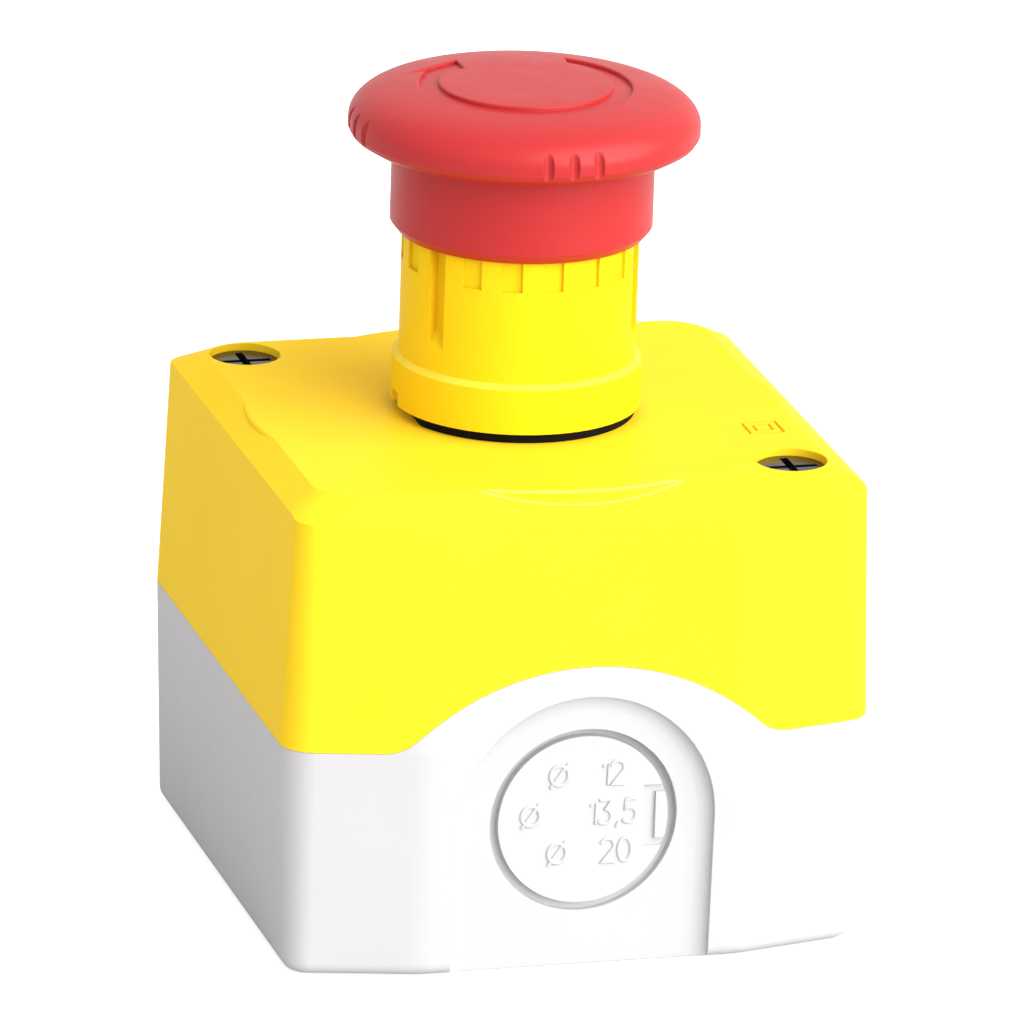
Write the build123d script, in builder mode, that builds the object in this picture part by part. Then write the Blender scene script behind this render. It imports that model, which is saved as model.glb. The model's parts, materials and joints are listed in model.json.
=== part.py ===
"""Emergency stop control station: a turn-to-release mushroom button on a small two-part enclosure.

Origin: middle of the base's back face. +Z runs out along the button's axis, X across the box,
Y along the line through the two cable entries. Millimetres.
"""

from build123d import *
import math
import os

os.makedirs("parts", exist_ok=True)

# ---- enclosure
BOX_HALF_W = 34.0  # half width at the parting line
BOX_HALF_D = 35.0  # half depth at the parting line, on the flat middle of a bowed side
FLAT_HALF = 18.6  # half width of that flat middle
SLANT_DEG = 12.7  # how far the outer stretches of a bowed side lean back
PARTING_Z = 26.7
LID_TOP_Z = 55.2
DRAFT_DEG = 2.0
CORNER_R = 4.0
BOW_R = 12.0
FOOT_R = 1.5
WALL = 2.5
FLOOR = 2.5
ROOF = 3.0
RIM_GAP = 0.03  # between lid and base along the rim

# ---- sloping shoulder of the lid and the round pad under the head
SHOULDER_DEG = 31.0
TOP_HALF_W = 29.85
TOP_HALF_D = 28.4
TOP_CORNER_R = 5.0
PAD_R = 30.8
PAD_DEPTH = 2.0
PAD_EDGE_R = 0.35
MARK_X = 25.65  # class II mark beside the right-hand screw
MARK_Y = -12.1
MARK_DEPTH = 0.3
MARK_LINE = 0.3

# ---- arched rim of the base and the recessed panel with its cable knock-out
ARCH_TOP_Z = 35.8
ARCH_R = 29.6
ARCH_BLEND_R = 5.0
PANEL_R = 14.95
PANEL_DEPTH = 1.2
PANEL_WALL = 0.7  # steep part of the panel's border
COVE_R = 3.2  # hollow between that wall and the panel's floor
ENTRY_Z = 17.35  # height of the cable entries
KNOCKOUT_R = 9.85
KNOCKOUT_FACE_Y = 33.35
KNOCKOUT_GROOVE = 1.0
KNOCKOUT_DEPTH = 1.0
KNOCKOUT_WEB = 0.6  # left at the bottom of the groove, to be broken out

# ---- enclosure screws and wall fixings
SCREW_X = 25.5
SCREW_Y = 24.0
SCREW_HEAD_R = 3.9
SCREW_HEAD_TOP = 54.4
SCREW_HEAD_H = 2.6
SCREW_SHANK_R = 1.95
SCREW_TIP_Z = 24.0
COUNTERBORE_R = 4.08
BOSS_JOIN_Z = 38.0
FIXING_PITCH = 48.0  # both ways, so the two holes stand on a diagonal
FIXING_HOLE_R = 2.15

# ---- gasket between lid and base
GASKET_INSET = 0.9
GASKET_W = 1.0
GASKET_H = 1.2

# ---- head
BARREL_R = 11.0
BARREL_HOLE_R = 11.15
BARREL_BOTTOM = 42.0
BARREL_BORE_R = 9.6
FLANGE_R = 14.15
FLANGE_BOTTOM = 56.37
FLANGE_TOP = 61.5
SEAL_R = 13.56
SEAL_FLAT_X = -12.45  # the seal is cut straight below the flange's notch
HEAD_TURN = 0.8  # degrees the head stands turned from square
COLLAR_R = 13.42
COLLAR_TOP = 80.5
WEB_BOTTOM = 47.8
WEB_TOP = 50.0
SPRING_BORE_R = 7.2
TRAVEL = 4.5

# ---- latch: pins on the shaft that spread along a conical bore as the button goes down
LATCH_Z = 73.0
LATCH_PIN_R = 1.5
LATCH_TIP = 8.0
LATCH_SPREAD = 1.2
LATCH_CONE_GAP = 0.06
LATCH_HEAD_R = 7.0
CONE_TOP = 75.5
CONE_BOTTOM = 66.0

# ---- shaft, bush and plate
SHAFT_R = 4.0
SHAFT_TOP = 84.6
SHAFT_BOTTOM = 44.5
RUN_GAP = 0.05  # radial clearance of running fits
BUSH_R = 5.5
BUSH_BOTTOM = 47.0
BUSH_TOP = 51.0
PLATE_R = 9.3
PLATE_BOTTOM = 42.2
SPIGOT_R = 2.5

# ---- mushroom
CAP_R = 19.85
SKIRT_R = 14.84
SKIRT_BORE_R = 13.75
SKIRT_BOTTOM = 76.4
CAP_CEILING = 86.6
CAP_TOP = 93.6
DISC_R = 9.85
ARROW_R = 12.0
HUB_R = 6.5
HUB_BOTTOM = 79.0

# ---- mounting base and contact blocks
CARRIER_TOP = 52.1
BLOCK_X = 6.6
BLOCK_HALF_W = 6.4
BLOCK_HALF_D = 18.0
BLOCK_BOTTOM = 13.0
BLOCK_TOP = 36.4
BLOCK_WALL = 1.2
CONTACT_Z = 27.4  # height where moving and fixed contacts meet
CONTACT_Y = 4.8
TERMINAL_Y = 14.2


def save(builder, name):
    """Labels a finished piece and writes it."""
    builder.part.label = name
    export_step(builder.part, f"parts/{name}.step")


def outline(inset=0.0):
    """The box's outline at the parting line, moved inwards by inset."""
    lean = math.tan(math.radians(SLANT_DEG))
    corner_y = BOX_HALF_D - (BOX_HALF_W - FLAT_HALF) * lean
    with BuildSketch(Plane.XY.offset(PARTING_Z)) as shape:
        with BuildLine():
            Polyline(
                (-BOX_HALF_W, -corner_y),
                (-FLAT_HALF, -BOX_HALF_D),
                (FLAT_HALF, -BOX_HALF_D),
                (BOX_HALF_W, -corner_y),
                (BOX_HALF_W, corner_y),
                (FLAT_HALF, BOX_HALF_D),
                (-FLAT_HALF, BOX_HALF_D),
                (-BOX_HALF_W, corner_y),
                close=True,
            )
        make_face()
        fillet(shape.vertices().group_by(SortBy.DISTANCE)[-1], CORNER_R)
        fillet(shape.vertices().filter_by(lambda v: abs(v.X) < FLAT_HALF + 1), BOW_R)
        if inset:
            offset(amount=-inset, kind=Kind.INTERSECTION, mode=Mode.REPLACE)
    return shape.sketch


def rounded_rectangle(half_w, half_d, radius, z):
    """A rounded rectangle at height z."""
    with BuildSketch(Plane.XY.offset(z)) as shape:
        RectangleRounded(2 * half_w, 2 * half_d, radius)
    return shape.sketch


def shoulder(half_w, half_d, radius, top_z):
    """Two sections of the pyramid whose sides are the lid's sloping shoulders."""
    drop = top_z - PARTING_Z + 1
    spread = drop / math.tan(math.radians(SHOULDER_DEG))
    upper = rounded_rectangle(half_w, half_d, radius, top_z)
    lower = rounded_rectangle(half_w + spread, half_d + spread, radius, top_z - drop)
    return [lower, upper]


def rim_region(lift=0.0):
    """Front view of everything below the rim of the base, moved up by lift."""
    width = 2 * BOX_HALF_W + 8
    depth = 60.0
    with BuildSketch(Plane.XZ) as shape:
        with Locations((0, PARTING_Z + lift - depth / 2)):
            Rectangle(width, depth)
        with Locations((0, ARCH_TOP_Z + lift - ARCH_R)):
            Circle(ARCH_R)
        corners = shape.vertices().filter_by(lambda v: abs(v.X) < BOX_HALF_W)
        fillet(corners.filter_by(lambda v: v.Y > PARTING_Z + lift - 1), ARCH_BLEND_R)
    return shape.sketch


def side_plane(side, depth, z):
    """Plane on the drafted front (side -1) or back (side +1) of the base, depth below its surface."""
    draft = math.radians(DRAFT_DEG)
    y = BOX_HALF_D - (PARTING_Z - z) * math.tan(draft)
    normal = Vector(0, side * math.cos(draft), -math.sin(draft))
    return Plane(origin=Vector(0, side * y, z) - normal * depth, x_dir=(-side, 0, 0), z_dir=normal)


def panel_section(radius, plane):
    """U-shaped outline of the recessed panel, open at the foot of the base."""
    foot = -ENTRY_Z - 3
    with BuildSketch(plane) as shape:
        Circle(radius)
        with Locations((0, foot / 2)):
            Rectangle(2 * radius, -foot)
    return shape.sketch


def cove(depth):
    """How far the panel's hollow border has closed in at a depth below its steep wall."""
    start = COVE_R - (PANEL_DEPTH - PANEL_WALL)
    return math.sqrt(COVE_R**2 - start**2) - math.sqrt(COVE_R**2 - (start + depth) ** 2)


# ================================================================ lid and base blanks
with BuildPart() as pad:
    with BuildSketch(Plane.XY.offset(LID_TOP_Z)):
        Circle(PAD_R)
    extrude(amount=-PAD_DEPTH)
    fillet(pad.edges().group_by(Axis.Z)[-1], PAD_EDGE_R)

with BuildPart() as lid_block:
    extrude(outline(), amount=LID_TOP_Z - PARTING_Z, taper=DRAFT_DEG)
    loft(shoulder(TOP_HALF_W, TOP_HALF_D, TOP_CORNER_R, LID_TOP_Z), ruled=True, mode=Mode.INTERSECT)
    add(pad.part)

with BuildPart() as lid_cavity:
    inner_top = LID_TOP_Z - ROOF
    level = ROOF / math.tan(math.radians(SHOULDER_DEG)) - WALL / math.sin(math.radians(SHOULDER_DEG))
    extrude(outline(WALL), amount=inner_top - PARTING_Z, taper=DRAFT_DEG)
    loft(
        shoulder(TOP_HALF_W + level, TOP_HALF_D + level, TOP_CORNER_R, inner_top),
        ruled=True,
        mode=Mode.INTERSECT,
    )

with BuildPart() as base_cavity:
    extrude(outline(WALL), amount=-(PARTING_Z - FLOOR), taper=DRAFT_DEG)
    fillet(base_cavity.faces().sort_by(Axis.Z)[0].edges(), FOOT_R / 2)
    add(lid_cavity.part)

with BuildPart() as below_rim:
    extrude(rim_region(), amount=BOX_HALF_D + 10, both=True)

with BuildPart() as below_lid:
    extrude(rim_region(RIM_GAP), amount=BOX_HALF_D + 10, both=True)

# ================================================================ lid gasket
with BuildPart() as lid_gasket:
    with BuildSketch(Plane.XY.offset(PARTING_Z - GASKET_H)):
        add(Plane.XY.offset(-GASKET_H) * outline(GASKET_INSET))
        add(Plane.XY.offset(-GASKET_H) * outline(GASKET_INSET + GASKET_W), mode=Mode.SUBTRACT)
    extrude(amount=ARCH_TOP_Z - PARTING_Z + GASKET_H)
    extrude(rim_region(), amount=BOX_HALF_D + 10, both=True, mode=Mode.INTERSECT)
    extrude(rim_region(-GASKET_H), amount=BOX_HALF_D + 10, both=True, mode=Mode.SUBTRACT)
save(lid_gasket, "lid_gasket")

# ================================================================ base shell
with BuildPart() as rim_tabs:
    add(lid_block.part)
    add(below_rim.part, mode=Mode.INTERSECT)

with BuildPart() as base_shell:
    extrude(outline(), amount=-PARTING_Z, taper=DRAFT_DEG)
    fillet(base_shell.faces().sort_by(Axis.Z)[0].edges(), FOOT_R)
    add(rim_tabs.part)
    add(base_cavity.part, mode=Mode.SUBTRACT)
    add(lid_gasket.part, mode=Mode.SUBTRACT)
    for side in (-1, 1):
        extrude(panel_section(PANEL_R, side_plane(side, PANEL_WALL, ENTRY_Z)), amount=4, mode=Mode.SUBTRACT)
        border = []
        for share in (0, 0.25, 0.5, 0.75, 1):
            depth = share * (PANEL_DEPTH - PANEL_WALL)
            border.append(panel_section(PANEL_R - cove(depth), side_plane(side, PANEL_WALL + depth, ENTRY_Z)))
        loft(border, mode=Mode.SUBTRACT)
        face = Plane(origin=(0, side * KNOCKOUT_FACE_Y, ENTRY_Z), x_dir=(-side, 0, 0), z_dir=(0, side, 0))
        with BuildSketch(face.offset(-KNOCKOUT_DEPTH - KNOCKOUT_WEB)):
            Circle(KNOCKOUT_R + 2 * KNOCKOUT_GROOVE)
        extrude(amount=KNOCKOUT_DEPTH / 2 + KNOCKOUT_WEB)
        with BuildSketch(face.offset(-KNOCKOUT_DEPTH)):
            Circle(KNOCKOUT_R + KNOCKOUT_GROOVE)
        extrude(amount=3, mode=Mode.SUBTRACT)
        with BuildSketch(face.offset(-KNOCKOUT_DEPTH)):
            Circle(KNOCKOUT_R)
        extrude(amount=KNOCKOUT_DEPTH)
        with BuildSketch(face):
            with Locations((KNOCKOUT_R - 1.3, 0)):
                Rectangle(3.2, 7.2)
            with Locations((KNOCKOUT_R - 0.5, 0)):
                Rectangle(1.9, 5.5, mode=Mode.SUBTRACT)
        extrude(amount=-0.4, mode=Mode.SUBTRACT)
    screw_posts = Locations((-SCREW_X, SCREW_Y, FLOOR), (SCREW_X, -SCREW_Y, FLOOR))
    with screw_posts:
        Cylinder(4.2, BOSS_JOIN_Z - FLOOR, align=(Align.CENTER, Align.CENTER, Align.MIN))
    with Locations((-SCREW_X, SCREW_Y, BOSS_JOIN_Z), (SCREW_X, -SCREW_Y, BOSS_JOIN_Z)):
        Hole(SCREW_SHANK_R + RUN_GAP, BOSS_JOIN_Z - SCREW_TIP_Z + 2)
    fixing = FIXING_PITCH / 2
    with Locations((fixing, fixing, FLOOR), (-fixing, -fixing, FLOOR)):
        Cylinder(5.0, 1.5, align=(Align.CENTER, Align.CENTER, Align.MIN))
    with Locations((fixing, fixing, FLOOR + 1.5), (-fixing, -fixing, FLOOR + 1.5)):
        Hole(FIXING_HOLE_R, FLOOR + 1.5)
save(base_shell, "base_shell")

# ================================================================ lid shell
with BuildPart() as lid_shell:
    add(lid_block.part)
    add(lid_cavity.part, mode=Mode.SUBTRACT)
    with Locations((-SCREW_X, SCREW_Y, LID_TOP_Z - ROOF + 0.5), (SCREW_X, -SCREW_Y, LID_TOP_Z - ROOF + 0.5)):
        Cylinder(
            5.4,
            LID_TOP_Z - ROOF + 0.5 - BOSS_JOIN_Z - RIM_GAP,
            align=(Align.CENTER, Align.CENTER, Align.MAX),
        )
    add(below_lid.part, mode=Mode.SUBTRACT)
    with Locations((-SCREW_X, SCREW_Y, LID_TOP_Z), (SCREW_X, -SCREW_Y, LID_TOP_Z)):
        CounterBoreHole(
            SCREW_SHANK_R + 0.25,
            COUNTERBORE_R,
            LID_TOP_Z - SCREW_HEAD_TOP + SCREW_HEAD_H,
            depth=LID_TOP_Z - BOSS_JOIN_Z,
        )
    with Locations((0, 0, LID_TOP_Z)):
        Hole(BARREL_HOLE_R, ROOF)
    with BuildSketch(Plane.XY.offset(LID_TOP_Z)):
        for size in (4.2, 2.2):
            with Locations((MARK_X, MARK_Y)):
                Rectangle(size, size)
                Rectangle(size - 2 * MARK_LINE, size - 2 * MARK_LINE, mode=Mode.SUBTRACT)
    extrude(amount=-MARK_DEPTH, mode=Mode.SUBTRACT)
save(lid_shell, "lid_shell")

# ================================================================ lid screws
with BuildPart() as lid_screws:
    for x, y in ((-SCREW_X, SCREW_Y), (SCREW_X, -SCREW_Y)):
        with BuildSketch(Plane.XY.offset(SCREW_HEAD_TOP - SCREW_HEAD_H)):
            with Locations((x, y)):
                Circle(SCREW_HEAD_R)
        extrude(amount=SCREW_HEAD_H)
        with BuildSketch(Plane.XY.offset(SCREW_TIP_Z)):
            with Locations((x, y)):
                Circle(SCREW_SHANK_R)
        extrude(amount=SCREW_HEAD_TOP - SCREW_HEAD_H - SCREW_TIP_Z)
        with BuildSketch(Plane.XY.offset(SCREW_HEAD_TOP)):
            with Locations((x, y)):
                Rectangle(6.2, 0.95)
                Rectangle(0.95, 6.2)
        extrude(amount=-1.3, mode=Mode.SUBTRACT)
    chamfer(lid_screws.faces().sort_by(Axis.Z)[0].edges(), 0.6)
save(lid_screws, "lid_screws")

# ================================================================ head seal
with BuildPart() as head_seal:
    with BuildSketch(Plane.XZ):
        with BuildLine():
            Polyline(
                (BARREL_HOLE_R + 0.15, LID_TOP_Z),
                (SEAL_R - 0.1, LID_TOP_Z),
                (SEAL_R, LID_TOP_Z + 0.1),
                (SEAL_R, FLANGE_BOTTOM),
                (BARREL_HOLE_R + 0.15, FLANGE_BOTTOM),
                close=True,
            )
        make_face()
    revolve(axis=Axis.Z)
    split(bisect_by=Plane(origin=(SEAL_FLAT_X, 0, 0), z_dir=(1, 0, 0)))
save(head_seal, "head_seal")

# ================================================================ head body
LATCH_SLOPE = LATCH_SPREAD / TRAVEL
LATCH_BALL_R = LATCH_TIP - LATCH_PIN_R
CONE_AT_LATCH = LATCH_BALL_R + (LATCH_PIN_R + LATCH_CONE_GAP) * math.hypot(1, LATCH_SLOPE)
CONE_TOP_R = CONE_AT_LATCH - (CONE_TOP - LATCH_Z) * LATCH_SLOPE
CONE_BOTTOM_R = CONE_AT_LATCH + (LATCH_Z - CONE_BOTTOM) * LATCH_SLOPE
SLOT_BOTTOM = 64.7
SLOT_RAMP = 2.1
SLOT_DEPTH = 1.3
SLOT_W = 2.3
TOOTH_BOTTOM = 72.8
TOOTH_DEPTH = 0.45
TOOTH_COUNT = 18

with BuildPart() as head_body:
    with BuildSketch(Plane.XZ):
        with BuildLine():
            Polyline(
                (BARREL_R, BARREL_BOTTOM),
                (BARREL_R, FLANGE_BOTTOM),
                (FLANGE_R, FLANGE_BOTTOM),
                (FLANGE_R, FLANGE_TOP),
                (COLLAR_R, FLANGE_TOP + 0.6),
                (COLLAR_R, COLLAR_TOP),
                (9.0, COLLAR_TOP),
                (9.0, CONE_TOP + 0.7),
                (CONE_TOP_R, CONE_TOP),
                (CONE_BOTTOM_R, CONE_BOTTOM),
                (SPRING_BORE_R, CONE_BOTTOM),
                (SPRING_BORE_R, WEB_TOP),
                (BUSH_R, WEB_TOP),
                (BUSH_R, WEB_BOTTOM),
                (BARREL_BORE_R, WEB_BOTTOM),
                (BARREL_BORE_R, BARREL_BOTTOM),
                close=True,
            )
        make_face()
    revolve(axis=Axis.Z)
    tooth_pitch = 360 / TOOTH_COUNT
    with BuildSketch(Plane.XY.offset(TOOTH_BOTTOM)):
        with PolarLocations(COLLAR_R, TOOTH_COUNT, start_angle=HEAD_TURN - 90):
            Rectangle(2 * TOOTH_DEPTH, 2 * COLLAR_R * math.sin(math.radians(tooth_pitch / 4)))
    extrude(amount=COLLAR_TOP - TOOTH_BOTTOM, mode=Mode.SUBTRACT)
    for angle in (-150, -30, 90):
        slot = Plane.XY.rotated((0, 0, angle + HEAD_TURN))
        slot_side = Plane(origin=(0, 0, 0), x_dir=slot.x_dir, z_dir=-slot.y_dir)
        with BuildSketch(slot_side):
            with BuildLine():
                Polyline(
                    (COLLAR_R + 0.1, SLOT_BOTTOM),
                    (COLLAR_R + 0.1, COLLAR_TOP + 1),
                    (COLLAR_R - SLOT_DEPTH, COLLAR_TOP + 1),
                    (COLLAR_R - SLOT_DEPTH, SLOT_BOTTOM + SLOT_RAMP),
                    close=True,
                )
            make_face()
        extrude(amount=SLOT_W / 2, both=True, mode=Mode.SUBTRACT)
    with Locations((-FLANGE_R, 0, FLANGE_BOTTOM)):
        Box(1.8, 2.2, 3.0, mode=Mode.SUBTRACT)
save(head_body, "head_body")

# ================================================================ mushroom cap
NOTCH_R = 0.62
NOTCH_STEP = 8.6
RIM_TOP = 89.1
RIM_BOTTOM = 88.15
UNDERSIDE_TOP = 86.7
UNDERSIDE_BOTTOM = 86.0
RELIEF_OUTER_R = 12.6  # ring-shaped hollow that thins the cap
RELIEF_INNER_R = 8.2
RELIEF_DEPTH = 3.6
ARROW_DEPTH = 0.45
ARROW_EDGE_R = 0.2
ARROW_EDGE_LOW = 93.04  # between these heights lie the groove's upper edges and nothing else
ARROW_EDGE_HIGH = 93.45
ARROW_START = 46.0
ARROW_SWEEP = -269.0


def polar(radius, angle):
    """Point of the XY plane at a radius and an angle in degrees."""
    return (radius * math.cos(math.radians(angle)), radius * math.sin(math.radians(angle)))


def dome(drop=0.0):
    """Half section of the cap's body below its domed top, lowered by drop."""
    with BuildSketch(Plane.XZ) as half:
        with BuildLine():
            Spline(
                (0, CAP_TOP - drop),
                (5.0, 93.55 - drop),
                (DISC_R, 93.4 - drop),
                (13.5, 92.97 - drop),
                (16.5, 92.35 - drop),
                (18.45, 91.45 - drop),
                (19.55, 90.25 - drop),
                (CAP_R, RIM_TOP - drop),
                tangents=((1, 0), (0, -1)),
            )
            Polyline(
                (CAP_R, RIM_TOP - drop),
                (CAP_R, RIM_BOTTOM - drop),
                (CAP_R - 0.35, RIM_BOTTOM - 0.6 - drop),
                (18.1, UNDERSIDE_TOP - drop),
                (SKIRT_R, UNDERSIDE_BOTTOM - drop),
                (0, UNDERSIDE_BOTTOM - drop),
                (0, CAP_TOP - drop),
            )
        make_face()
    return half.sketch


with BuildPart() as arrow:
    with BuildSketch(Plane.XY.offset(CAP_TOP + 1)):
        with BuildLine():
            outer_arc = CenterArc((0, 0), ARROW_R, ARROW_START + 7, ARROW_SWEEP - 7)
            inner_arc = CenterArc((0, 0), DISC_R, ARROW_START, ARROW_SWEEP)
            Line(outer_arc @ 0, inner_arc @ 0)
            Line(outer_arc @ 1, inner_arc @ 1)
        make_face()
        with BuildLine():
            Polyline(polar(13.6, 147.5), polar(11.9, 116), polar(8.4, 130.5), close=True)
        make_face()
    extrude(amount=-3)
    revolve(dome(ARROW_DEPTH), axis=Axis.Z, mode=Mode.SUBTRACT)

with BuildPart() as mushroom_cap:
    revolve(dome(), axis=Axis.Z)
    add(arrow.part, mode=Mode.SUBTRACT)
    groove_edges = mushroom_cap.edges().filter_by(GeomType.BSPLINE)
    fillet(groove_edges.filter_by_position(Axis.Z, ARROW_EDGE_LOW, ARROW_EDGE_HIGH), ARROW_EDGE_R)
    with BuildSketch(Plane.XY.offset(SKIRT_BOTTOM)):
        Circle(SKIRT_R)
    extrude(amount=(UNDERSIDE_BOTTOM + UNDERSIDE_TOP) / 2 - SKIRT_BOTTOM)
    chamfer(mushroom_cap.edges().group_by(Axis.Z)[0], 1.0, 0.8)
    with BuildSketch(Plane.XY.offset(SKIRT_BOTTOM)):
        Circle(SKIRT_BORE_R)
    extrude(amount=CAP_CEILING - SKIRT_BOTTOM, mode=Mode.SUBTRACT)
    with BuildSketch(Plane.XY.offset(CAP_CEILING)):
        Circle(RELIEF_OUTER_R)
        Circle(RELIEF_INNER_R, mode=Mode.SUBTRACT)
    extrude(amount=RELIEF_DEPTH, mode=Mode.SUBTRACT)
    with BuildSketch(Plane.XY.offset(HUB_BOTTOM)):
        Circle(HUB_R)
    extrude(amount=CAP_CEILING - HUB_BOTTOM + 0.5)
    with BuildSketch(Plane.XY.offset(HUB_BOTTOM)):
        Circle(SHAFT_R + RUN_GAP)
    extrude(amount=SHAFT_TOP + 0.5 - HUB_BOTTOM, mode=Mode.SUBTRACT)
    for quarter in range(4):
        for step in (-1, 0, 1):
            angle = quarter * 90 + 1 + step * NOTCH_STEP
            foot = Vector(CAP_R + 0.3, 0, RIM_BOTTOM - 0.5).rotate(Axis.Z, angle)
            head = Vector(CAP_R - 0.1, 0, RIM_TOP + 2.1).rotate(Axis.Z, angle)
            with BuildSketch(Plane(origin=foot, z_dir=head - foot)):
                Circle(NOTCH_R)
            extrude(amount=(head - foot).length, mode=Mode.SUBTRACT)
save(mushroom_cap, "mushroom_cap")

# ================================================================ release sleeve
with BuildPart() as release_sleeve:
    with BuildSketch(Plane.XZ):
        with BuildLine():
            Polyline(
                (SHAFT_R + 0.1, 76.9),
                (6.9, 76.9),
                (6.9, 81.0),
                (8.0, 81.6),
                (8.0, 84.5),
                (HUB_R, 84.5),
                (HUB_R, HUB_BOTTOM),
                (SHAFT_R + 0.1, HUB_BOTTOM),
                close=True,
            )
        make_face()
    revolve(axis=Axis.Z)
    with BuildSketch(Plane.XY.offset(76.9)):
        with PolarLocations(5.6, 2, start_angle=90):
            Rectangle(1.8, 4.0)
    extrude(amount=-0.8)
save(release_sleeve, "release_sleeve")

# ================================================================ operating shaft
CLIP_TOP = 46.9
CLIP_H = 0.6
with BuildPart() as operating_shaft:
    with BuildSketch(Plane.XZ):
        with BuildLine():
            Polyline(
                (0, PLATE_BOTTOM),
                (SPIGOT_R, PLATE_BOTTOM),
                (SPIGOT_R, SHAFT_BOTTOM),
                (SHAFT_R, SHAFT_BOTTOM),
                (SHAFT_R, CLIP_TOP - CLIP_H - 0.05),
                (SHAFT_R - 0.7, CLIP_TOP - CLIP_H - 0.05),
                (SHAFT_R - 0.7, CLIP_TOP),
                (SHAFT_R, CLIP_TOP),
                (SHAFT_R, 70.2),
                (LATCH_HEAD_R, 70.2),
                (LATCH_HEAD_R, 75.9),
                (SHAFT_R, 75.9),
                (SHAFT_R, SHAFT_TOP - 0.5),
                (SHAFT_R - 0.5, SHAFT_TOP),
                (0, SHAFT_TOP),
                close=True,
            )
        make_face()
    revolve(axis=Axis.Z)
    with BuildSketch(Plane.YZ):
        with Locations((0, LATCH_Z)):
            Circle(LATCH_PIN_R + RUN_GAP)
    extrude(amount=LATCH_HEAD_R + 1, both=True, mode=Mode.SUBTRACT)
save(operating_shaft, "operating_shaft")

# ================================================================ latch pins and their spring
LATCH_PIN_ROOT = 3.3
for name, side in (("latch_pin_left", -1), ("latch_pin_right", 1)):
    with BuildPart() as latch_pin:
        with BuildSketch(Plane.XZ):
            with BuildLine():
                Line((side * LATCH_PIN_ROOT, LATCH_Z), (side * LATCH_PIN_ROOT, LATCH_Z + LATCH_PIN_R))
                Line(
                    (side * LATCH_PIN_ROOT, LATCH_Z + LATCH_PIN_R),
                    (side * LATCH_BALL_R, LATCH_Z + LATCH_PIN_R),
                )
                ThreePointArc(
                    (side * LATCH_BALL_R, LATCH_Z + LATCH_PIN_R),
                    (
                        side * (LATCH_BALL_R + LATCH_PIN_R * math.sqrt(0.5)),
                        LATCH_Z + LATCH_PIN_R * math.sqrt(0.5),
                    ),
                    (side * LATCH_TIP, LATCH_Z),
                )
                Line((side * LATCH_TIP, LATCH_Z), (side * LATCH_PIN_ROOT, LATCH_Z))
            make_face()
        revolve(axis=Axis((0, 0, LATCH_Z), (1, 0, 0)))
    save(latch_pin, name)

LATCH_WIRE_R = 0.22
with BuildPart() as latch_spring:
    with BuildLine() as coil:
        span = 2 * (LATCH_PIN_ROOT - LATCH_WIRE_R) - 0.1
        Helix(
            pitch=span / 6,
            height=span,
            radius=1.05,
            center=(-span / 2, 0, LATCH_Z),
            direction=(1, 0, 0),
        )
    with BuildSketch(Plane(origin=coil.line @ 0, z_dir=coil.line % 0)):
        Circle(LATCH_WIRE_R)
    sweep(is_frenet=True)
save(latch_spring, "latch_spring")

# ================================================================ shaft bush, clip, plate and return spring
with BuildPart() as shaft_bush:
    with BuildSketch(Plane.XZ):
        with BuildLine():
            Polyline(
                (SHAFT_R + RUN_GAP, BUSH_BOTTOM),
                (BUSH_R, BUSH_BOTTOM),
                (BUSH_R, WEB_TOP),
                (SPRING_BORE_R - 0.1, WEB_TOP),
                (SPRING_BORE_R - 0.1, BUSH_TOP),
                (SHAFT_R + RUN_GAP, BUSH_TOP),
                close=True,
            )
        make_face()
    revolve(axis=Axis.Z)
save(shaft_bush, "shaft_bush")

with BuildPart() as shaft_clip:
    with BuildSketch(Plane.XY.offset(CLIP_TOP - CLIP_H)):
        Circle(SHAFT_R + 2.0)
        Circle(SHAFT_R - 0.65, mode=Mode.SUBTRACT)
        with Locations((0, SHAFT_R + 1)):
            Rectangle(4.2, 8, mode=Mode.SUBTRACT)
    extrude(amount=CLIP_H)
save(shaft_clip, "shaft_clip")

with BuildPart() as actuator_plate:
    with BuildSketch(Plane.XY.offset(PLATE_BOTTOM)):
        Circle(PLATE_R)
        Circle(SPIGOT_R, mode=Mode.SUBTRACT)
    extrude(amount=SHAFT_BOTTOM - PLATE_BOTTOM)
    chamfer(actuator_plate.edges().filter_by(GeomType.CIRCLE).group_by(SortBy.RADIUS)[-1], 0.4)
save(actuator_plate, "actuator_plate")

RETURN_WIRE_R = 0.5
with BuildPart() as return_spring:
    with BuildLine() as coil:
        start_z = BUSH_TOP + RETURN_WIRE_R + 0.03
        length = 70.2 - RETURN_WIRE_R - 0.03 - start_z
        Helix(pitch=length / 7, height=length, radius=5.7, center=(0, 0, start_z))
    with BuildSketch(Plane(origin=coil.line @ 0, z_dir=coil.line % 0)):
        Circle(RETURN_WIRE_R)
    sweep(is_frenet=True)
save(return_spring, "return_spring")

# ================================================================ mounting base and its clamp screw
CLAMP_Y = 22.5
with BuildPart() as mounting_base:
    with BuildSketch(Plane.XY.offset(BARREL_BOTTOM)):
        RectangleRounded(30, 38, 3)
        with Locations((0, CLAMP_Y - 2)):
            RectangleRounded(11, 13, 2)
    extrude(amount=CARRIER_TOP - BARREL_BOTTOM)
    with Locations((0, 0, CARRIER_TOP)):
        Hole(BARREL_R + RUN_GAP, CARRIER_TOP - BARREL_BOTTOM)
    with Locations((0, CLAMP_Y, CARRIER_TOP)):
        Hole(1.95, CARRIER_TOP - BARREL_BOTTOM)
save(mounting_base, "mounting_base")

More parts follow.
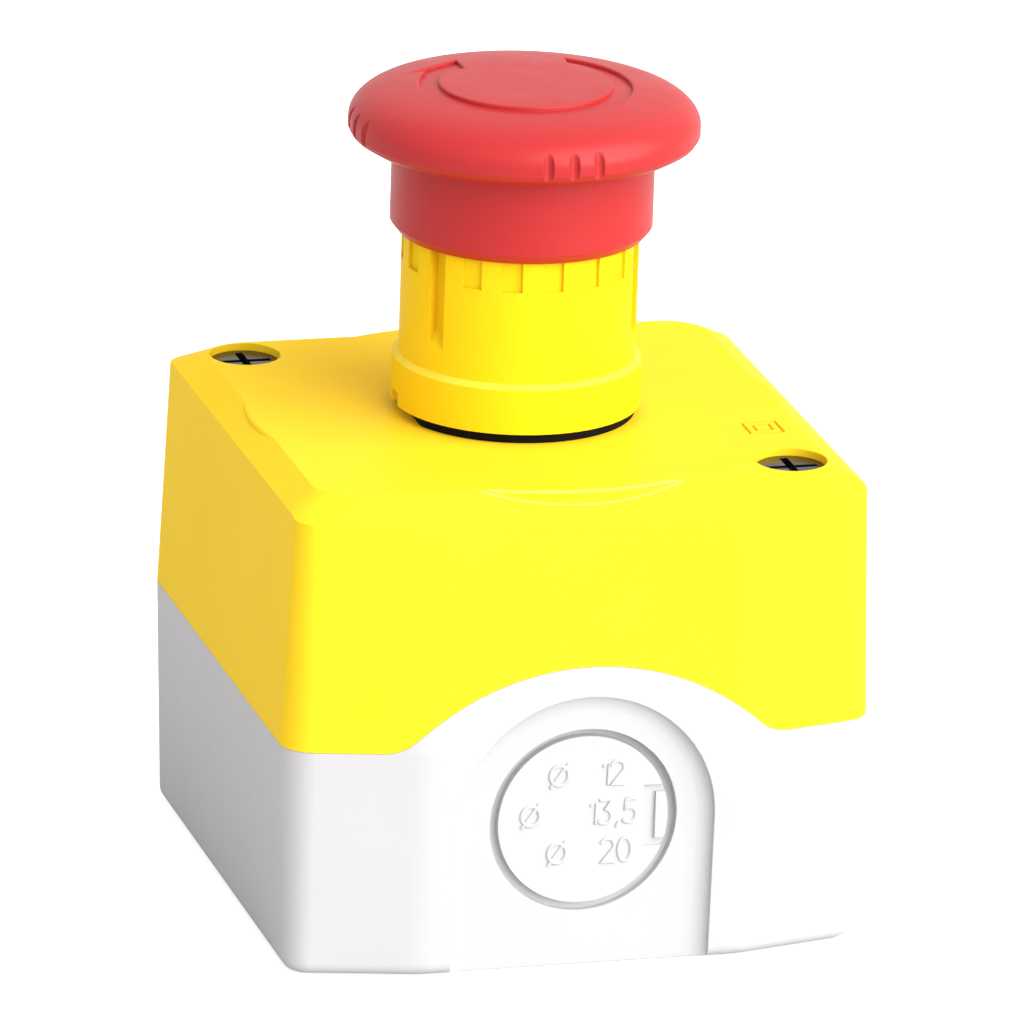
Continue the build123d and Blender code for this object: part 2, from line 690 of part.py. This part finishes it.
with BuildPart() as clamp_screw:
    with BuildSketch(Plane.XY.offset(BARREL_BOTTOM - 2.4)):
        with Locations((0, CLAMP_Y)):
            Circle(3.4)
    extrude(amount=2.4)
    with BuildSketch(Plane.XY.offset(BARREL_BOTTOM)):
        with Locations((0, CLAMP_Y)):
            Circle(1.9)
    extrude(amount=LID_TOP_Z - ROOF - 0.05 - BARREL_BOTTOM)
    with BuildSketch(Plane.XY.offset(BARREL_BOTTOM - 2.4)):
        with Locations((0, CLAMP_Y)):
            Rectangle(5.0, 0.8)
            Rectangle(0.8, 5.0)
    extrude(amount=1.2, mode=Mode.SUBTRACT)
save(clamp_screw, "clamp_screw")

# ================================================================ two contact blocks, mirror images
PLUNGER_TOP = PLATE_BOTTOM - 0.05
BRIDGE_TOP = CONTACT_Z - 0.65
STRIP_BOTTOM = CONTACT_Z + 0.6
STRIP_H = 0.8
SPRING_FLOOR = BLOCK_BOTTOM + 2.0
CHAMBER_TOP = BLOCK_TOP - 1.6

for name, side in (("left", -1), ("right", 1)):
    middle = side * BLOCK_X
    upright = Plane(origin=(side * (BLOCK_X - BLOCK_HALF_W), 0, 0), x_dir=(0, side, 0), z_dir=(side, 0, 0))
    chamber_depth = 2 * (BLOCK_HALF_W - BLOCK_WALL)

    with BuildPart() as housing:
        with BuildSketch(upright):
            with Locations((0, (BLOCK_BOTTOM + BLOCK_TOP) / 2)):
                Rectangle(2 * BLOCK_HALF_D, BLOCK_TOP - BLOCK_BOTTOM)
            for end in (-1, 1):
                with Locations((end * (BLOCK_HALF_D - 2.2), (BLOCK_BOTTOM + BARREL_BOTTOM) / 2)):
                    Rectangle(4.4, BARREL_BOTTOM - BLOCK_BOTTOM - 0.1)
        extrude(amount=2 * BLOCK_HALF_W - BLOCK_WALL)
        with BuildSketch(upright.offset(BLOCK_WALL)):
            with Locations((0, (SPRING_FLOOR + CHAMBER_TOP) / 2)):
                Rectangle(21, CHAMBER_TOP - SPRING_FLOOR)
            for end in (-1, 1):
                with Locations((end * TERMINAL_Y, (BLOCK_BOTTOM + 31) / 2)):
                    Rectangle(5.4, 31 - BLOCK_BOTTOM)
                with Locations((end * 11, (STRIP_BOTTOM + STRIP_H / 2))):
                    Rectangle(3, STRIP_H + 0.1)
        extrude(amount=chamber_depth, mode=Mode.SUBTRACT)
        with BuildSketch(Plane.XY.offset(BLOCK_TOP)):
            with Locations((middle, 0)):
                Rectangle(5.0 + 2 * RUN_GAP, 4.4 + 2 * RUN_GAP)
        extrude(amount=-2.0, mode=Mode.SUBTRACT)
    save(housing, f"{name}_block_housing")

    with BuildPart() as cover:
        with BuildSketch(upright.offset(2 * BLOCK_HALF_W - BLOCK_WALL)):
            with Locations((0, (BLOCK_BOTTOM + BLOCK_TOP) / 2)):
                RectangleRounded(2 * BLOCK_HALF_D, BLOCK_TOP - BLOCK_BOTTOM, 1.0)
        extrude(amount=BLOCK_WALL)
    save(cover, f"{name}_block_cover")

    with BuildPart() as plunger:
        with BuildSketch(Plane.XY.offset(BRIDGE_TOP)):
            with Locations((middle, 0)):
                Rectangle(5.0, 4.4)
        extrude(amount=PLUNGER_TOP - BRIDGE_TOP)
        with BuildSketch(Plane.XY.offset(CHAMBER_TOP - 1.3)):
            with Locations((middle, 0)):
                Rectangle(7.4, 6.8)
        extrude(amount=1.2)
        chamfer(plunger.faces().sort_by(Axis.Z)[-1].edges(), 0.5)
    save(plunger, f"{name}_plunger")

    with BuildPart() as bridge:
        with BuildSketch(Plane.XY.offset(BRIDGE_TOP - 0.8)):
            with Locations((middle, 0)):
                RectangleRounded(4.0, 2 * CONTACT_Y + 3.6, 1.2)
        extrude(amount=0.8)
        with BuildSketch(Plane.XY.offset(BRIDGE_TOP)):
            with Locations((middle, -CONTACT_Y), (middle, CONTACT_Y)):
                Circle(1.3)
        extrude(amount=CONTACT_Z - 0.05 - BRIDGE_TOP)
    save(bridge, f"{name}_bridge_contact")

    with BuildPart() as fixed_contacts:
        for end in (-1, 1):
            with BuildSketch(Plane.XY.offset(STRIP_BOTTOM)):
                with Locations((middle, end * (3.3 + 16.4) / 2)):
                    Rectangle(4.4, 16.4 - 3.3)
                with Locations((middle, end * TERMINAL_Y)):
                    Circle(1.5, mode=Mode.SUBTRACT)
            extrude(amount=STRIP_H)
            with BuildSketch(Plane.XY.offset(CONTACT_Z)):
                with Locations((middle, end * CONTACT_Y)):
                    Circle(1.3)
            extrude(amount=STRIP_BOTTOM - CONTACT_Z)
    save(fixed_contacts, f"{name}_fixed_contacts")

    with BuildPart() as terminal_clamps:
        with BuildSketch(Plane.XY.offset(25.0)):
            with Locations((middle, -TERMINAL_Y), (middle, TERMINAL_Y)):
                Rectangle(5.0, 4.8)
                Circle(1.5, mode=Mode.SUBTRACT)
        extrude(amount=1.2)
    save(terminal_clamps, f"{name}_terminal_clamps")

    with BuildPart() as terminal_screws:
        for end in (-1, 1):
            with BuildSketch(Plane.XY.offset(22.6)):
                with Locations((middle, end * TERMINAL_Y)):
                    Circle(2.4)
            extrude(amount=2.4)
            with BuildSketch(Plane.XY.offset(25.0)):
                with Locations((middle, end * TERMINAL_Y)):
                    Circle(1.45)
            extrude(amount=5.2)
            with BuildSketch(Plane.XY.offset(22.6)):
                with Locations((middle, end * TERMINAL_Y)):
                    Rectangle(3.6, 0.7)
                    Rectangle(0.7, 3.6)
            extrude(amount=1.1, mode=Mode.SUBTRACT)
    save(terminal_screws, f"{name}_terminal_screws")

    with BuildPart() as contact_spring:
        wire_r = 0.3
        with BuildLine() as coil:
            start_z = SPRING_FLOOR + wire_r + 0.03
            length = BRIDGE_TOP - 0.8 - wire_r - 0.03 - start_z
            Helix(pitch=length / 6, height=length, radius=1.6, center=(middle, 0, start_z))
        with BuildSketch(Plane(origin=coil.line @ 0, z_dir=coil.line % 0)):
            Circle(wire_r)
        sweep(is_frenet=True)
    save(contact_spring, f"{name}_contact_spring")
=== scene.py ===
"""Looks of the emergency stop station: materials, springs, raised size marks, studio and camera.

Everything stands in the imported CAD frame: metres, +Z out along the button's axis, front at -Y.
"""

import json
import math

import bpy
from mathutils import Matrix, Vector


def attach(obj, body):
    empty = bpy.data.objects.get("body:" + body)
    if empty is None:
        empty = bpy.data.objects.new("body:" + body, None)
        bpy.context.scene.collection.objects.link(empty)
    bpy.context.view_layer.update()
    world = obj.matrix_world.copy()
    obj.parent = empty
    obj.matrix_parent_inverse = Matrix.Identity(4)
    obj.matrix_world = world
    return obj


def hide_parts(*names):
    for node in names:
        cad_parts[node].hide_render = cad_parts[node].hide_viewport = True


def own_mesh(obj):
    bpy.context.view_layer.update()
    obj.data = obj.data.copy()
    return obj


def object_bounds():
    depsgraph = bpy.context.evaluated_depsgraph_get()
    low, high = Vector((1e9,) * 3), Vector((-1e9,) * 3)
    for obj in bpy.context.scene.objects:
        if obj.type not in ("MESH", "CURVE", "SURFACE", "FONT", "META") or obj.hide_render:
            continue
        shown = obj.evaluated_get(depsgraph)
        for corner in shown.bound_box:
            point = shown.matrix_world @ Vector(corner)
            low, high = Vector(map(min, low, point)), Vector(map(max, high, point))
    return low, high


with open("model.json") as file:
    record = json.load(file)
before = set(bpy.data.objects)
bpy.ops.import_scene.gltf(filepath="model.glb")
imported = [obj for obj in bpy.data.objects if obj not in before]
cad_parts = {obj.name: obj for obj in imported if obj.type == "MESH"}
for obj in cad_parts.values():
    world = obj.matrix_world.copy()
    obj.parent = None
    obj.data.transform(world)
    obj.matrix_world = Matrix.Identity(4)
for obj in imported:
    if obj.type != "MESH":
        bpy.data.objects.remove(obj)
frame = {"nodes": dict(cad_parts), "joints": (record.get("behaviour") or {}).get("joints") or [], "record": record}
cad_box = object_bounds()

MM = 0.001
UP = Vector((0, 0, 1))
record = frame["record"]
nodes = frame["nodes"]
mounts = {mount["name"]: mount for mount in record["mounts"]}
slot_of = {part["node"]: part["material_slot"] for part in record["subparts"]}


# ------------------------------------------------------------ materials
NOISE_LOW, NOISE_HIGH = 0.3, 0.7  # nearly all of a noise's values lie between these
BEVEL_SAMPLES = 4


class Shader:
    """A material's node tree with short ways to add and join nodes."""

    def __init__(self, name):
        self.material = bpy.data.materials.new(name)
        self.material.use_nodes = True
        self.tree = self.material.node_tree
        self.tree.nodes.clear()
        self.output = self.tree.nodes.new("ShaderNodeOutputMaterial")
        self.surface = self.tree.nodes.new("ShaderNodeBsdfPrincipled")
        self.join(self.surface.outputs[0], self.output.inputs["Surface"])
        self.place = self.tree.nodes.new("ShaderNodeTexCoord").outputs["Object"]

    def join(self, source, target):
        self.tree.links.new(source, target)

    def fill(self, socket, value):
        """Gives a socket a number, a colour or another node's output."""
        if isinstance(value, (int, float)):
            socket.default_value = value
        elif isinstance(value, tuple):
            socket.default_value = (*value, 1.0)
        else:
            self.join(value, socket)

    def set(self, name, value):
        self.fill(self.surface.inputs[name], value)

    def noise(self, size, detail=2.0, roughness=0.5):
        """Noise whose grains are about size metres across, as a 0 to 1 value."""
        node = self.tree.nodes.new("ShaderNodeTexNoise")
        node.inputs["Scale"].default_value = 1.0 / size
        node.inputs["Detail"].default_value = detail
        node.inputs["Roughness"].default_value = roughness
        self.join(self.place, node.inputs["Vector"])
        return node.outputs["Fac"]

    def stretch(self, value, low, high, to_low, to_high):
        """Maps value from low..high to to_low..to_high, clamped."""
        node = self.tree.nodes.new("ShaderNodeMapRange")
        self.join(value, node.inputs["Value"])
        ends = {"From Min": low, "From Max": high, "To Min": to_low, "To Max": to_high}
        for name, number in ends.items():
            node.inputs[name].default_value = number
        return node.outputs["Result"]

    def blend(self, factor, first, second, mode="MIX"):
        """Mixes two colours; each may be a colour or another node's output."""
        node = self.tree.nodes.new("ShaderNodeMix")
        node.data_type = "RGBA"
        node.blend_type = mode
        for index, value in ((0, factor), (6, first), (7, second)):
            self.fill(node.inputs[index], value)
        return node.outputs[2]

    def rounded_normal(self, radius):
        """Normal that rounds sharp edges by radius metres."""
        node = self.tree.nodes.new("ShaderNodeBevel")
        node.samples = BEVEL_SAMPLES
        node.inputs["Radius"].default_value = radius
        return node.outputs["Normal"]

    def edge_mask(self, rounded):
        """1 on sharp edges and 0 on open faces, from how far the rounded normal leans."""
        geometry = self.tree.nodes.new("ShaderNodeNewGeometry")
        dot = self.tree.nodes.new("ShaderNodeVectorMath")
        dot.operation = "DOT_PRODUCT"
        self.join(rounded, dot.inputs[0])
        self.join(geometry.outputs["Normal"], dot.inputs[1])
        slight_lean, full_lean = 0.99, 0.75
        return self.stretch(dot.outputs["Value"], slight_lean, full_lean, 0.0, 1.0)

    def radius(self):
        """Distance from the button's axis, in metres."""
        flat = self.tree.nodes.new("ShaderNodeVectorMath")
        flat.operation = "MULTIPLY"
        flat.inputs[1].default_value = (1.0, 1.0, 0.0)
        self.join(self.place, flat.inputs[0])
        length = self.tree.nodes.new("ShaderNodeVectorMath")
        length.operation = "LENGTH"
        self.join(flat.outputs["Vector"], length.inputs[0])
        return length.outputs["Value"]

    def side_distance(self):
        """Distance from the XZ plane, in metres."""
        apart = self.tree.nodes.new("ShaderNodeSeparateXYZ")
        self.join(self.place, apart.inputs[0])
        size = self.tree.nodes.new("ShaderNodeMath")
        size.operation = "ABSOLUTE"
        self.join(apart.outputs["Y"], size.inputs[0])
        return size.outputs[0]

    def band(self, value, low, high, fade):
        """1 where value lies between low and high, fading to 0 over fade outside them."""
        rising = self.stretch(value, low - fade, low, 0.0, 1.0)
        falling = self.stretch(value, high, high + fade, 1.0, 0.0)
        return self.blend(1.0, rising, falling, "MULTIPLY")

    def bump(self, height, distance, normal=None):
        """Bump of the given depth in metres, on top of another normal."""
        node = self.tree.nodes.new("ShaderNodeBump")
        node.inputs["Strength"].default_value = 1.0
        node.inputs["Distance"].default_value = distance
        self.join(height, node.inputs["Height"])
        if normal is not None:
            self.join(normal, node.inputs["Normal"])
        self.join(node.outputs["Normal"], self.surface.inputs["Normal"])


def moulded_plastic(
    name,
    colour,
    roughness,
    grain=0.25 * MM,
    relief=0.004 * MM,
    tone=0.05,
    edge_radius=0.12 * MM,
    wear=0.3,
    ior=1.45,
    painted_highlights=None,
):
    """Injection moulded plastic: faint tone drift, fine grain, slightly polished edges, optional painted highlight
    bands.
    """
    shader = Shader(name)
    drift = shader.noise(14 * MM, detail=3.0)
    dark = tuple(channel * (1 - tone) for channel in colour)
    drift = shader.stretch(drift, NOISE_LOW, NOISE_HIGH, 0.0, 1.0)
    body = shader.blend(drift, dark, colour)
    rounded = shader.rounded_normal(edge_radius)
    edge = shader.edge_mask(rounded)
    scuffs = shader.noise(1.6 * MM, detail=4.0, roughness=0.7)
    worn = shader.blend(scuffs, (0.0, 0.0, 0.0), (wear, wear, wear))
    pale = tuple(min(1.0, channel * 1.08 + 0.012) for channel in colour)
    rubbed = shader.blend(edge, (0.0, 0.0, 0.0), worn)
    surface = shader.blend(rubbed, body, pale)
    # Painted highlights: pale bands painted into the colour at set distances from the axis, in place of light
    # caught by edges
    if painted_highlights is not None:
        spans, side, highlight_colour = painted_highlights
        radius = shader.radius()
        at_ends = shader.stretch(shader.side_distance(), side, side + 0.2 * MM, 0.0, 1.0)
        for inner, outer in spans:
            highlight_band = shader.band(radius, inner, outer, 0.04 * MM)
            highlight_band = shader.blend(1.0, highlight_band, at_ends, "MULTIPLY")
            surface = shader.blend(highlight_band, surface, highlight_colour)
    shader.set("Base Color", surface)
    mottling = shader.noise(3.0 * MM, detail=3.0)
    least, most = roughness - 0.02, roughness + 0.03
    shader.set("Roughness", shader.stretch(mottling, NOISE_LOW, NOISE_HIGH, least, most))
    shader.set("IOR", ior)
    shader.bump(shader.noise(grain, detail=2.0, roughness=0.6), relief, rounded)
    return shader.material


def rubber(name, colour, bloom_share=1.0):
    """Matt moulded rubber with a dusty bloom."""
    shader = Shader(name)
    bloom = shader.noise(2.5 * MM, detail=4.0)
    pale = tuple(channel + 0.02 * bloom_share for channel in colour)
    dusty = shader.stretch(bloom, 0.45, 0.75, 0.0, 1.0)
    shader.set("Base Color", shader.blend(dusty, colour, pale))
    shader.set("Roughness", shader.stretch(bloom, NOISE_LOW, NOISE_HIGH, 0.62, 0.75))
    shader.set("Specular IOR Level", 0.5 * bloom_share)
    shader.bump(shader.noise(0.12 * MM, detail=2.0), 0.004 * MM, shader.rounded_normal(0.12 * MM))
    return shader.material


def metal(name, colour, roughness, metallic=1.0, grain=0.15 * MM):
    """Machined, plated or painted metal: fine grain, dull patches, bright edges."""
    shader = Shader(name)
    patches = shader.noise(2.0 * MM, detail=4.0)
    dull = tuple(channel * 0.82 for channel in colour)
    body = shader.blend(shader.stretch(patches, 0.35, 0.7, 0.0, 1.0), colour, dull)
    rounded = shader.rounded_normal(0.1 * MM)
    bright = tuple(min(1.0, channel * 1.25 + 0.02) for channel in colour)
    shader.set("Base Color", shader.blend(shader.edge_mask(rounded), body, bright))
    shader.set("Metallic", metallic)
    rough = shader.stretch(patches, NOISE_LOW, NOISE_HIGH, roughness, roughness + 0.12)
    shader.set("Roughness", rough)
    shader.bump(shader.noise(grain, detail=2.0), 0.003 * MM, rounded)
    return shader.material


YELLOW = (0.90, 0.595, 0.020)
PAINTED_HIGHLIGHT_YELLOW = (0.91, 0.66, 0.11)
HEAD_YELLOW = (0.85, 0.565, 0.010)
RED = (0.435, 0.021, 0.022)
LIGHT_GREY = (0.51, 0.50, 0.505)
# Painted highlights: pale lines painted into the colour where a moulded edge catches the light.
# Each holds spans of the distance from the axis, the least distance from the XZ plane (below zero
# for all round), and the colour.
# Painted highlight lines along the top edge and the foot of the lid's raised pad
PAD_HIGHLIGHT_SPANS = ((30.45 * MM, 30.72 * MM), (30.85 * MM, 31.05 * MM))
PAD_PAINTED_HIGHLIGHTS = (PAD_HIGHLIGHT_SPANS, 28.5 * MM, PAINTED_HIGHLIGHT_YELLOW)
# Painted highlight: a pale band painted into the head's colour around the flange
FLANGE_HIGHLIGHT_SPANS = ((13.48 * MM, 14.1 * MM),)
FLANGE_PAINTED_HIGHLIGHTS = (FLANGE_HIGHLIGHT_SPANS, -1.0 * MM, (0.86, 0.62, 0.05))

materials = {
    "lid_plastic": moulded_plastic(
        "lid_plastic", YELLOW, 0.42, tone=0.03, ior=1.08, painted_highlights=PAD_PAINTED_HIGHLIGHTS
    ),
    "head_plastic": moulded_plastic(
        "head_plastic", HEAD_YELLOW, 0.38, tone=0.03, ior=1.08, painted_highlights=FLANGE_PAINTED_HIGHLIGHTS
    ),
    "base_plastic": moulded_plastic("base_plastic", LIGHT_GREY, 0.46, tone=0.025, ior=1.3),
    "mushroom_plastic": moulded_plastic(
        "mushroom_plastic", RED, 0.36, tone=0.015, edge_radius=0.25 * MM, ior=1.33
    ),
    "inner_plastic": moulded_plastic("inner_plastic", (0.72, 0.71, 0.68), 0.45),
    "carrier_plastic": moulded_plastic("carrier_plastic", (0.035, 0.035, 0.038), 0.5),
    "block_plastic": moulded_plastic("block_plastic", (0.055, 0.06, 0.065), 0.48),
    "cover_plastic": moulded_plastic("cover_plastic", (0.62, 0.61, 0.57), 0.5),
    "plunger_plastic": moulded_plastic("plunger_plastic", (0.55, 0.03, 0.025), 0.38),
    "seal_rubber": rubber("seal_rubber", (0.003, 0.003, 0.003), bloom_share=0.15),
    "gasket_rubber": rubber("gasket_rubber", (0.02, 0.02, 0.02)),
    "screw_black": metal("screw_black", (0.006, 0.006, 0.007), 0.12, metallic=0.0),
    "spring_steel": metal("spring_steel", (0.56, 0.56, 0.58), 0.25),
    "zinc_steel": metal("zinc_steel", (0.66, 0.67, 0.69), 0.3),
    "contact_brass": metal("contact_brass", (0.72, 0.52, 0.22), 0.26),
    "bush_brass": metal("bush_brass", (0.66, 0.47, 0.2), 0.3),
}

for node_name, node in nodes.items():
    node.data.materials.clear()
    node.data.materials.append(materials[slot_of[node_name]])


# ------------------------------------------------------------ spring copies held by the enclosure
def soft_spring(node_name):
    """A copy of the spring, held by the enclosure, in place of the CAD part, which is hidden."""
    node = nodes[node_name]
    coil = bpy.data.objects.new(node_name + "_coil", node.data.copy())
    bpy.context.scene.collection.objects.link(coil)
    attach(coil, "enclosure")
    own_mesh(coil)
    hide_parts(node_name)


joints = {joint["name"]: joint for joint in frame["joints"]}
for joint_name in ("head_push", "left_contact_open", "right_contact_open"):
    for deforming in joints[joint_name]["deforming_nodes"]:
        spring_name = deforming["node"]
        soft_spring(spring_name)


# ------------------------------------------------------------ raised size marks on the knock-outs
ARC_STEPS = 20


def ellipse(centre_x, centre_y, half_w, half_h, start_deg=0.0, end_deg=360.0):
    """Points along an elliptical arc."""
    points = []
    for step in range(ARC_STEPS + 1):
        angle = math.radians(start_deg + (end_deg - start_deg) * step / ARC_STEPS)
        points.append((centre_x + half_w * math.cos(angle), centre_y + half_h * math.sin(angle)))
    return points


# The strokes of each character, in units of its height.
GLYPHS = {
    "0": [ellipse(0.3, 0.5, 0.27, 0.5)],
    "1": [[(0.12, 0.78), (0.34, 1.0), (0.34, 0.0)]],
    "2": [ellipse(0.3, 0.72, 0.27, 0.28, 165, -38) + [(0.03, 0.0), (0.58, 0.0)]],
    "3": [[(0.06, 1.0), (0.54, 1.0), (0.28, 0.62)] + ellipse(0.27, 0.31, 0.29, 0.31, 78, -150)],
    "5": [[(0.54, 1.0), (0.14, 1.0), (0.09, 0.56)] + ellipse(0.28, 0.32, 0.29, 0.32, 118, -150)],
    ",": [[(0.16, 0.06), (0.06, -0.16)]],
    "\u00d8": [ellipse(0.42, 0.5, 0.38, 0.42), [(0.06, 0.0), (0.78, 1.0)]],
}
USUAL_ADVANCE = 0.72
ADVANCE = {"1": 0.42, ",": 0.3, "\u00d8": 0.95}
MARK_H = 2.8 * MM
STROKE_R = 0.22 * MM
ROW_PITCH = 4.6 * MM
TOP_ROW = 3.95 * MM  # foot of the top row above the middle of the knock-out
# Each row: its size, and the left ends of the diameter sign and of the size.
MARK_ROWS = (
    ("12", -4.1 * MM, 1.8 * MM),
    ("13,5", -7.3 * MM, 0.5 * MM),
    ("20", -4.1 * MM, 2.1 * MM),
)


def write(curve, text, left, foot):
    """Adds the strokes of text to curve, its first character's lower left corner at left, foot."""
    pen = left
    for character in text:
        for stroke in GLYPHS[character]:
            spline = curve.splines.new("POLY")
            spline.points.add(len(stroke) - 1)
            for point, (x, y) in zip(spline.points, stroke):
                point.co = (pen + x * MARK_H, foot + y * MARK_H, 0.0, 1.0)
        pen += ADVANCE.get(character, USUAL_ADVANCE) * MARK_H


def size_marks(name, mount):
    """Raised strokes on a knock-out: the sizes of the glands it takes."""
    curve = bpy.data.curves.new(name, "CURVE")
    curve.dimensions = "3D"
    curve.bevel_depth = STROKE_R
    curve.bevel_resolution = 2
    curve.use_fill_caps = True
    for row, (size, sign_left, size_left) in enumerate(MARK_ROWS):
        foot = TOP_ROW - row * ROW_PITCH
        write(curve, "\u00d8", sign_left, foot)
        write(curve, size, size_left, foot)
    outward = Vector(mount["axis"])
    turn = Matrix((UP.cross(outward), UP, outward)).transposed().to_4x4()
    holder = bpy.data.objects.new(name + "_strokes", curve)
    bpy.context.scene.collection.objects.link(holder)
    depsgraph = bpy.context.evaluated_depsgraph_get()
    mesh = bpy.data.meshes.new_from_object(holder.evaluated_get(depsgraph))
    bpy.data.objects.remove(holder)
    mesh.transform(Matrix.Translation(Vector(mount["pos_m"])) @ turn)
    marks = bpy.data.objects.new(name, mesh)
    bpy.context.scene.collection.objects.link(marks)
    mesh.materials.clear()
    mesh.materials.append(materials["base_plastic"])
    for polygon in mesh.polygons:
        polygon.use_smooth = True
    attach(marks, "enclosure")


size_marks("size_marks_front", mounts["cable_entry_front"])
size_marks("size_marks_back", mounts["cable_entry_back"])


# ------------------------------------------------------------ studio and camera
def sun(name, toward, strength, spread_deg):
    """Soft distant light that shines from the direction toward."""
    light = bpy.data.lights.new(name, "SUN")
    light.energy = strength
    light.angle = math.radians(spread_deg)
    holder = bpy.data.objects.new(name, light)
    holder.rotation_mode = "QUATERNION"
    holder.rotation_quaternion = Vector(toward).to_track_quat("Z", "Y")
    bpy.context.scene.collection.objects.link(holder)


def studio_world(strength):
    """Even white surroundings."""
    world = bpy.data.worlds.new("studio")
    world.use_nodes = True
    background = world.node_tree.nodes["Background"]
    background.inputs["Color"].default_value = (1.0, 1.0, 1.0, 1.0)
    background.inputs["Strength"].default_value = strength
    bpy.context.scene.world = world


FLOOR_GAP = 0.1 * MM  # keeps the floor clear of the object's flat underside


def studio_floor(half_width):
    """Pale floor just under the object; it looks brighter to the camera than to the object."""
    mesh = bpy.data.meshes.new("floor")
    level = cad_box[0].z - FLOOR_GAP
    signs = ((-1, -1), (1, -1), (1, 1), (-1, 1))
    corners = [(x * half_width, y * half_width, level) for x, y in signs]
    mesh.from_pydata(corners, [], [(0, 1, 2, 3)])
    floor = bpy.data.objects.new("floor", mesh)
    bpy.context.scene.collection.objects.link(floor)
    shader = Shader("floor")
    tone = shader.noise(40 * MM)
    shader.set("Base Color", shader.blend(tone, (0.58, 0.58, 0.58), (0.60, 0.60, 0.60)))
    shader.set("Roughness", 0.9)
    shader.set("Specular IOR Level", 0.0)
    seen = shader.tree.nodes.new("ShaderNodeLightPath").outputs["Is Camera Ray"]
    shader.set("Emission Color", (1.0, 1.0, 1.0))
    shader.set("Emission Strength", shader.stretch(seen, 0.0, 1.0, 0.0, 0.7))
    mesh.materials.append(shader.material)


def product_camera(azimuth_deg, elevation_deg, roll_deg, distance, aim, lens):
    """Long-lens camera that looks at aim from above, azimuth_deg left of the front."""
    azimuth, elevation, roll = (math.radians(v) for v in (azimuth_deg, elevation_deg, roll_deg))
    back = Vector(
        (
            -math.sin(azimuth) * math.cos(elevation),
            -math.cos(azimuth) * math.cos(elevation),
            math.sin(elevation),
        )
    )
    right = (-back).cross(UP).normalized()
    up = right.cross(-back)
    camera_x = math.cos(roll) * right - math.sin(roll) * up
    camera_y = math.sin(roll) * right + math.cos(roll) * up
    camera = bpy.data.objects.new("camera", bpy.data.cameras.new("camera"))
    camera.data.lens = lens
    camera.data.clip_start = distance / 10
    camera.data.clip_end = distance * 10
    turn = Matrix((camera_x, camera_y, back)).transposed().to_4x4()
    camera.matrix_world = Matrix.Translation(aim + back * distance) @ turn
    bpy.context.scene.collection.objects.link(camera)
    bpy.context.scene.camera = camera


studio_world(strength=0.93)
studio_floor(half_width=2.0)
sun("key", toward=(0.54, -0.65, 0.54), strength=4.6, spread_deg=75)
sun("front", toward=(0.5, -0.85, 0.05), strength=0.9, spread_deg=50)
product_camera(
    azimuth_deg=15.94,
    elevation_deg=18.37,
    roll_deg=-1.93,
    distance=1.368,
    aim=Vector((0.00008, 0.0, 0.04257)),
    lens=423.5,
)

bpy.context.scene.view_settings.view_transform = "Standard"
